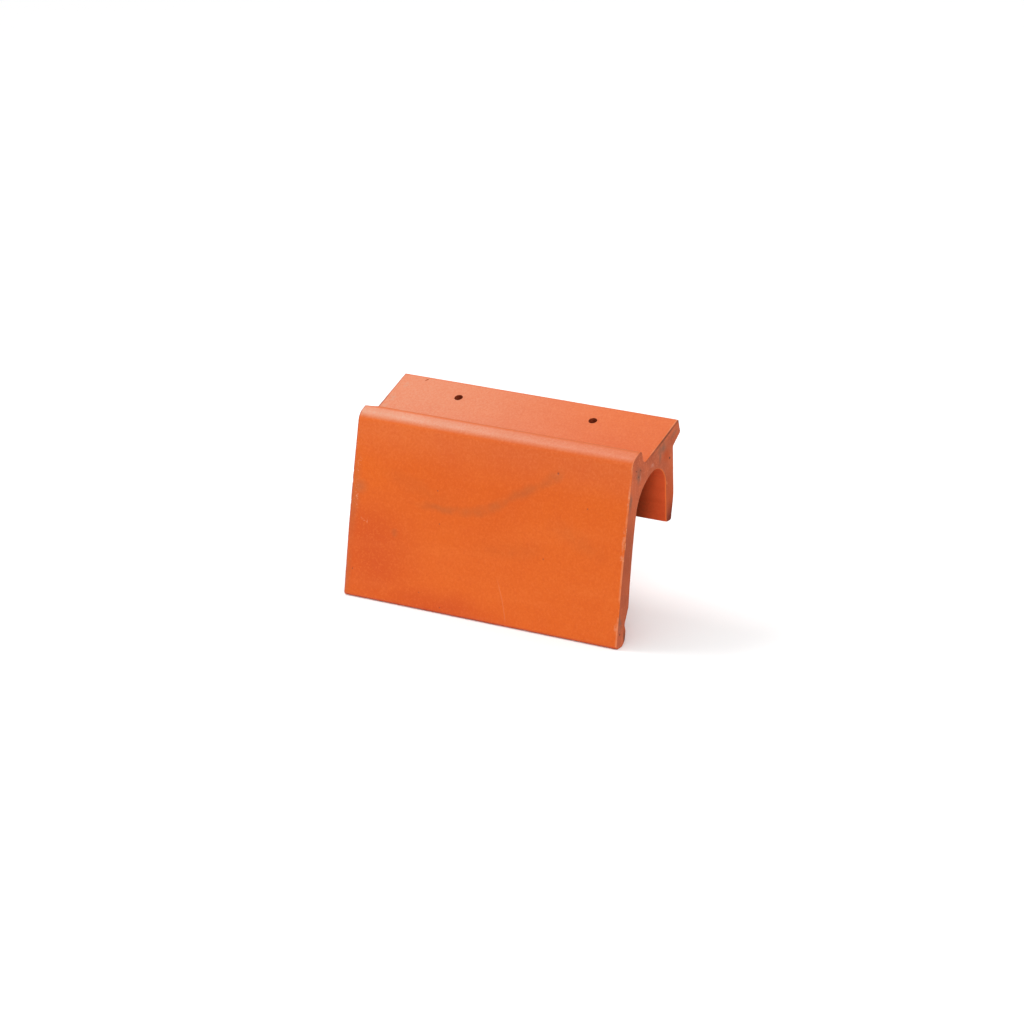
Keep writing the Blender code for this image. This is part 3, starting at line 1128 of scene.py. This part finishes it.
@dataclass
class EdgeTile:
    """The tile: pressed through a die, wire-cut at both ends, punched for two nails and fired."""

    length: float = 0.300
    end_round: float = 0.0005
    end_round_steps: int = 3
    end_round_profile: float = 0.5
    outline_step: float = 0.0021
    slices: int = 99
    end_step: float = 0.0022
    straight: float = math.radians(0.2)
    smooth_angle: float = math.radians(38)
    edge_reach: float = 0.0032
    end_share: float = 0.30
    inside_top: float = 0.0140
    inside_back: float = -0.0070
    front_middle: tuple[float, float] = (-0.0667, 0.2045)
    wears: tuple[Wear, ...] = (
        Wear("long_waves", 0.050, 0.00020),
        Wear("hand_marks", 0.011, 0.00010),
        Wear("worn_edges", 0.004, 0.00045, "cut_edges", 3),
    )
    lip_end: Triple = (-0.150, -0.0560, 0.0330)
    lip_loss: Triple = (0.0, -0.0017, -0.0006)
    lip_reach: float = 0.0045
    lip_blend: float = 0.013
    chips: tuple[Chip, ...] = (
        Chip((0.1500, -0.0880, -0.0582), (0.0026, 0.0011, 0.0030), (0.0, 0.0, 25.0)),
        Chip((0.1503, -0.0850, -0.0450), (0.0020, 0.0012, 0.0060), (0.0, 0.0, 30.0)),
        Chip((0.1504, -0.0825, -0.0315), (0.0018, 0.0012, 0.0040), (0.0, 0.0, 30.0)),
        Chip((0.1504, -0.1008, -0.1212), (0.0024, 0.0011, 0.0034), (0.0, 0.0, 25.0)),
        Chip((0.1506, -0.0797, -0.0198), (0.0016, 0.0012, 0.0026), (0.0, 0.0, 30.0)),
        Chip((-0.1503, -0.0868, -0.0509), (0.0020, 0.0012, 0.0050), (0.0, 0.0, -30.0)),
        Chip((-0.1503, -0.0826, -0.0329), (0.0018, 0.0012, 0.0034), (0.0, 0.0, -30.0)),
        Chip((-0.1505, -0.0806, -0.0239), (0.0016, 0.0012, 0.0028), (0.0, 0.0, -30.0)),
        Chip((0.1502, -0.0120, -0.0085), (0.0012, 0.0010, 0.0022)),
    )
    nicks: tuple[Chip, ...] = (
        Chip((-0.1226, 0.0056, 0.0447), (0.0008, 0.0030, 0.0010), (PITCH, 0.0, -37.0)),
    )
    holes: NailHoles = field(default_factory=NailHoles)
    skin: SmoothSkin = field(default_factory=SmoothSkin)
    cut_end: WireCutClay = field(default_factory=WireCutClay)
    inner: InnerClay = field(default_factory=InnerClay)
    # The nail holes' walls are near-black: painted shade inside the holes.
    punched: RoughClay = RoughClay("punched_clay", (0.17, 0.022, 0.006), (0.27, 0.042, 0.012))
    # The nick's clay is darker than broken clay: painted shade in the nick.
    nicked: RoughClay = RoughClay("nicked_clay", (0.38, 0.085, 0.030), (0.50, 0.130, 0.050))
    broken: RoughClay = RoughClay("broken_clay", (0.50, 0.125, 0.040), (0.70, 0.240, 0.110))

    def build(self) -> bpy.types.Object:
        """Make the whole tile.

        Returns:
            The finished tile.
        """
        piece = self.die_opening()
        self.press(piece)
        self.round_ends(piece)
        self.grid_ends(piece)
        self.slice_length(piece)
        self.dress(piece)
        self.mark_groups(piece)
        self.blunt_lip(piece)
        for wear in self.wears:
            self.wear_down(piece, wear)
        carve(piece, self.holes.rims(), Solver.ADD_ON)
        carve(piece, self.dressed_tool(self.holes.punches(), self.punched), Solver.TAKE_OFF)
        carve(piece, self.dressed_tool(FlakeCutters(self.chips).build(), self.broken), Solver.TAKE_OFF)
        carve(piece, self.dressed_tool(FlakeCutters(self.nicks).build(), self.nicked), Solver.TAKE_OFF)
        self.clean(piece)
        self.smooth(piece)
        return piece

    def die_opening(self) -> bpy.types.Object:
        """Take the tile's outline from the solid, as a flat closed line in its middle plane.

        Returns:
            The outline, as edges alone.
        """
        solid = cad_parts[NODE_NAME]
        piece = bpy.data.objects.new("clay_edge_tile", solid.data.copy())
        bpy.context.scene.collection.objects.link(piece)
        piece.data.materials.clear()
        with editing(piece):
            bpy.ops.mesh.select_all(action="SELECT")
            bpy.ops.mesh.customdata_custom_splitnormals_clear()
            bpy.ops.mesh.remove_doubles(threshold=WELD)
            bpy.ops.mesh.select_all(action="SELECT")
            bpy.ops.mesh.bisect(
                plane_co=(0.0, 0.0, 0.0), plane_no=(1.0, 0.0, 0.0), use_fill=True, clear_outer=True)
            select(piece, MeshList.FACE, lambda face: all(abs(vert.co.x) < WELD for vert in face.verts))
            bpy.ops.mesh.select_all(action="INVERT")
            bpy.ops.mesh.delete(type="FACE")
            bpy.ops.mesh.select_all(action="SELECT")
            bpy.ops.mesh.delete(type="ONLY_FACE")
            select(piece, MeshList.VERT, self.is_needless)
            bpy.ops.mesh.dissolve_verts()
            self.divide_outline(piece)
        return piece

    def is_needless(self, vert: bmesh.types.BMVert) -> bool:
        """Whether a point of the outline lies on a straight line between its neighbours."""
        first, second = (edge.other_vert(vert).co - vert.co for edge in vert.link_edges)
        return math.pi - first.angle(second) < self.straight

    def divide_outline(self, piece: bpy.types.Object) -> None:
        """Divide the long sides of the outline into even steps.

        Args:
            piece: The outline, in edit mode.
        """
        work = bmesh.from_edit_mesh(piece.data)
        most = max(round(edge.calc_length() / self.outline_step) for edge in work.edges)
        for steps in range(most, 1, -1):
            found = select(piece, MeshList.EDGE,
                           lambda edge: round(edge.calc_length() / self.outline_step) == steps)
            if found:
                bpy.ops.mesh.subdivide(number_cuts=steps - 1)

    def press(self, piece: bpy.types.Object) -> None:
        """Fill the outline and draw it out to the tile's length.

        Args:
            piece: The outline.
        """
        with editing(piece):
            bpy.ops.mesh.select_mode(type="EDGE")
            bpy.ops.mesh.select_all(action="SELECT")
            bpy.ops.mesh.edge_face_add()
            bpy.ops.mesh.select_mode(type="FACE")
            bpy.ops.mesh.select_all(action="SELECT")
            bpy.ops.transform.translate(value=(-self.length / 2, 0.0, 0.0))
            bpy.ops.mesh.extrude_region_move(TRANSFORM_OT_translate={"value": (self.length, 0.0, 0.0)})
            bpy.ops.mesh.select_all(action="SELECT")
            bpy.ops.mesh.normals_make_consistent(inside=False)

    def at_end(self, place: Vector) -> bool:
        """Whether a point lies in the plane of a cut end."""
        return abs(abs(place.x) - self.length / 2) < WELD

    def is_end_face(self, face: bmesh.types.BMFace) -> bool:
        """Whether a face lies in the plane of a cut end."""
        return abs(face.normal.x) > SQUARE and self.at_end(face.verts[0].co)

    def is_end_edge(self, edge: bmesh.types.BMEdge) -> bool:
        """Whether an edge runs round a cut end."""
        first, second = (vert.co for vert in edge.verts)
        return self.at_end(first) and abs(first.x - second.x) < WELD

    def round_ends(self, piece: bpy.types.Object) -> None:
        """Round the edges that the wire left.

        Args:
            piece: The pressed tile.
        """
        with editing(piece):
            select(piece, MeshList.EDGE, self.is_end_edge)
            bpy.ops.mesh.bevel(
                offset=self.end_round, segments=self.end_round_steps, profile=self.end_round_profile,
                affect="EDGES", clamp_overlap=False)

    def grid_ends(self, piece: bpy.types.Object) -> None:
        """Cut the end faces into small cells, so that they can be worn.

        Args:
            piece: The pressed tile.
        """
        low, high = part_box(NODE_NAME)
        with editing(piece):
            for axis in (1, 2):
                normal = Vector((0.0, 0.0, 0.0))
                normal[axis] = 1.0
                count = int((high[axis] - low[axis]) / self.end_step)
                for step in range(1, count + 1):
                    select(piece, MeshList.FACE, self.is_end_face)
                    level = normal * (low[axis] + step * self.end_step + WELD)
                    bpy.ops.mesh.bisect(plane_co=level, plane_no=normal)

    def slice_length(self, piece: bpy.types.Object) -> None:
        """Cut the long sides into slices along the tile.

        Args:
            piece: The pressed tile.
        """
        with editing(piece):
            select(piece, MeshList.EDGE,
                   lambda edge: abs(edge.verts[0].co.x - edge.verts[1].co.x) > self.length / 2)
            bpy.ops.mesh.subdivide(number_cuts=self.slices)

    def is_inside(self, place: Vector) -> bool:
        """Whether a point of the surface belongs to the inside of the arch.

        Args:
            place: The point.

        Returns:
            True under the arch, between the legs' middles.
        """
        front, lean = self.front_middle
        return place.z < self.inside_top and front + lean * place.z < place.y < self.inside_back

    def dress(self, piece: bpy.types.Object) -> None:
        """Give the tile its materials, each on its own faces.

        Args:
            piece: The sliced tile.
        """
        for finish in (self.skin, self.cut_end, self.inner, self.punched, self.broken, self.nicked):
            piece.data.materials.append(finish.make())
        for face in piece.data.polygons:
            if abs(face.normal.x) > SQUARE and self.at_end(face.center):
                face.material_index = Dress.CUT_END
            elif self.is_inside(face.center):
                face.material_index = Dress.INSIDE
            else:
                face.material_index = Dress.SKIN

    def dressed_tool(self, tool: bpy.types.Object, finish: RoughClay) -> bpy.types.Object:
        """Give a cutter the material that its cut shows.

        Args:
            tool: The cutter.
            finish: The clay that the cut lays bare.

        Returns:
            The same cutter.
        """
        tool.data.materials.clear()
        tool.data.materials.append(bpy.data.materials[finish.name])
        return tool

    def mark_groups(self, piece: bpy.types.Object) -> None:
        """Weigh the vertices by how near they are to the cut ends.

        Args:
            piece: The sliced tile.
        """
        group = piece.vertex_groups.new(name="cut_edges")
        start = self.length / 2 - self.edge_reach
        for vert in piece.data.vertices:
            share = (abs(vert.co.x) - start) / self.edge_reach
            if self.at_end(vert.co):
                share = self.end_share
            if share > 0.0:
                group.add([vert.index], share, "REPLACE")

    def blunt_lip(self, piece: bpy.types.Object) -> None:
        """Push the lip's left end down, where years of handling blunted it.

        Args:
            piece: The tile.
        """
        corner = Vector(self.lip_end)
        with editing(piece):
            select(piece, MeshList.VERT, lambda vert: (vert.co - corner).length < self.lip_reach)
            bpy.ops.transform.translate(
                value=self.lip_loss, use_proportional_edit=True, proportional_size=self.lip_blend,
                proportional_edit_falloff="SMOOTH", use_proportional_connected=True)

    def wear_down(self, piece: bpy.types.Object, wear: Wear) -> None:
        """Press an uneven pattern into the clay, never out of it.

        Args:
            piece: The tile.
            wear: The pattern.
        """
        pattern = bpy.data.textures.new(wear.name, "CLOUDS")
        pattern.noise_scale = wear.cell
        pattern.noise_depth = wear.layers
        pick(piece)
        modifier = piece.modifiers.new(wear.name, "DISPLACE")
        modifier.texture = pattern
        modifier.texture_coords = "LOCAL"
        modifier.mid_level = wear.level
        modifier.strength = wear.depth
        modifier.vertex_group = wear.group
        bpy.ops.object.modifier_apply(modifier=modifier.name)
        bpy.data.textures.remove(pattern)

    def clean(self, piece: bpy.types.Object) -> None:
        """Split all faces into triangles and take out the slivers that the cuts left.

        Args:
            piece: The carved tile.
        """
        with editing(piece):
            select(piece, MeshList.FACE, lambda face: len(face.verts) > 3)
            bpy.ops.mesh.quads_convert_to_tris(quad_method="BEAUTY", ngon_method="BEAUTY")
            select(piece, MeshList.FACE, lambda face: sum(edge.is_boundary for edge in face.edges) > 1)
            bpy.ops.mesh.delete(type="FACE")

    def smooth(self, piece: bpy.types.Object) -> None:
        """Shade the clay smoothly and keep its sharp breaks.

        Args:
            piece: The tile.
        """
        pick(piece)
        bpy.ops.object.shade_smooth_by_angle(angle=self.smooth_angle)


class LampKind(Enum):
    """Far lamps light the whole floor alike, near ones stand over the tile."""

    FAR = "SUN"
    NEAR = "AREA"


@dataclass(frozen=True)
class Lamp:
    """A soft lamp: its kind, where it stands from the tile, its strength and how wide it is.

    A far lamp has its strength in watts per square metre and its width in degrees.
    A near lamp has its strength in watts and its width in metres.
    """

    name: str
    kind: LampKind
    place: Triple
    strength: float
    width: float

    def build(self) -> bpy.types.Object:
        """Set up the lamp.

        Returns:
            The lamp.
        """
        bpy.ops.object.light_add(type=self.kind.value, location=self.place)
        lamp = bpy.context.active_object
        lamp.name = self.name
        lamp.rotation_euler = Vector(self.place).to_track_quat("Z", "Y").to_euler()
        lamp.data.energy = self.strength
        if self.kind is LampKind.FAR:
            lamp.data.angle = math.radians(self.width)
        else:
            lamp.data.size = self.width
        return lamp


@dataclass
class Studio:
    """The pale floor, the soft light and the camera."""

    camera_place: Triple = (2.06034, -3.13926, 1.21332)
    camera_turn: float = math.radians(33.6234)
    camera_fall: float = math.radians(18.7896)
    camera_roll: float = math.radians(-1.4504)
    lens: float = 149.85
    sensor: float = 36.0
    floor_side: float = 14.0
    floor_colour: Colour = (0.97, 0.97, 0.97)
    floor_roughness: float = 0.9
    floor_specular: float = 0.0
    sky: float = 0.50
    lamps: tuple[Lamp, ...] = (
        Lamp("key_lamp", LampKind.FAR, (0.55, -0.68, 0.48), 1.15, 35.0),
        Lamp("ceiling_lamp", LampKind.FAR, (0.0, 0.0, 1.0), 1.1, 110.0),
        Lamp("sheen_lamp", LampKind.NEAR, (-0.68, -0.12, 1.08), 6.0, 0.5),
    )

    def build(self) -> None:
        """Set up the floor, the lamps, the sky and the camera."""
        self.floor()
        for lamp in self.lamps:
            lamp.build()
        self.light_sky()
        self.camera()
        bpy.context.scene.view_settings.view_transform = "Standard"

    def floor(self) -> None:
        """Lay the floor just under the toe."""
        low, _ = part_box(NODE_NAME)
        deselect_all()
        bpy.ops.mesh.primitive_plane_add(size=self.floor_side, location=(0.0, 0.0, low.z))
        floor = bpy.context.active_object
        floor.name = "floor"
        apply_place(floor)
        bench = NodeBench("pale_floor", self.floor_roughness, self.floor_specular)
        bench.feed(self.floor_colour, bench.shader.inputs["Base Color"])
        floor.data.materials.append(bench.material)

    def light_sky(self) -> None:
        """Make the room's own even light."""
        world = bpy.data.worlds.new("room")
        bpy.context.scene.world = world
        world.use_nodes = True
        sky = world.node_tree.nodes["Background"]
        sky.inputs["Color"].default_value = (1.0, 1.0, 1.0, 1.0)
        sky.inputs["Strength"].default_value = self.sky

    def camera(self) -> None:
        """Stand the camera where the photograph was taken from."""
        bpy.ops.object.camera_add(location=self.camera_place)
        camera = bpy.context.active_object
        turn = Matrix.Rotation(self.camera_turn, 4, "Z")
        tilt = Matrix.Rotation(math.radians(90) - self.camera_fall, 4, "X")
        roll = Matrix.Rotation(self.camera_roll, 4, "Z")
        camera.matrix_world = Matrix.Translation(self.camera_place) @ turn @ tilt @ roll
        camera.data.sensor_width = self.sensor
        camera.data.lens = self.lens
        bpy.context.scene.camera = camera


def main() -> None:
    """Build the tile and its studio, in order."""
    logging.basicConfig(level=logging.INFO, format="%(message)s")
    tile = EdgeTile().build()
    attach(tile, BODY_NAME)
    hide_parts(NODE_NAME)
    log.info("%s: %d vertices, %d faces", tile.name, len(tile.data.vertices), len(tile.data.polygons))
    studio = Studio()
    studio.build()
    log.info("studio: floor, %d lamps, camera", len(studio.lamps))


if __name__ == "__main__":
    main()
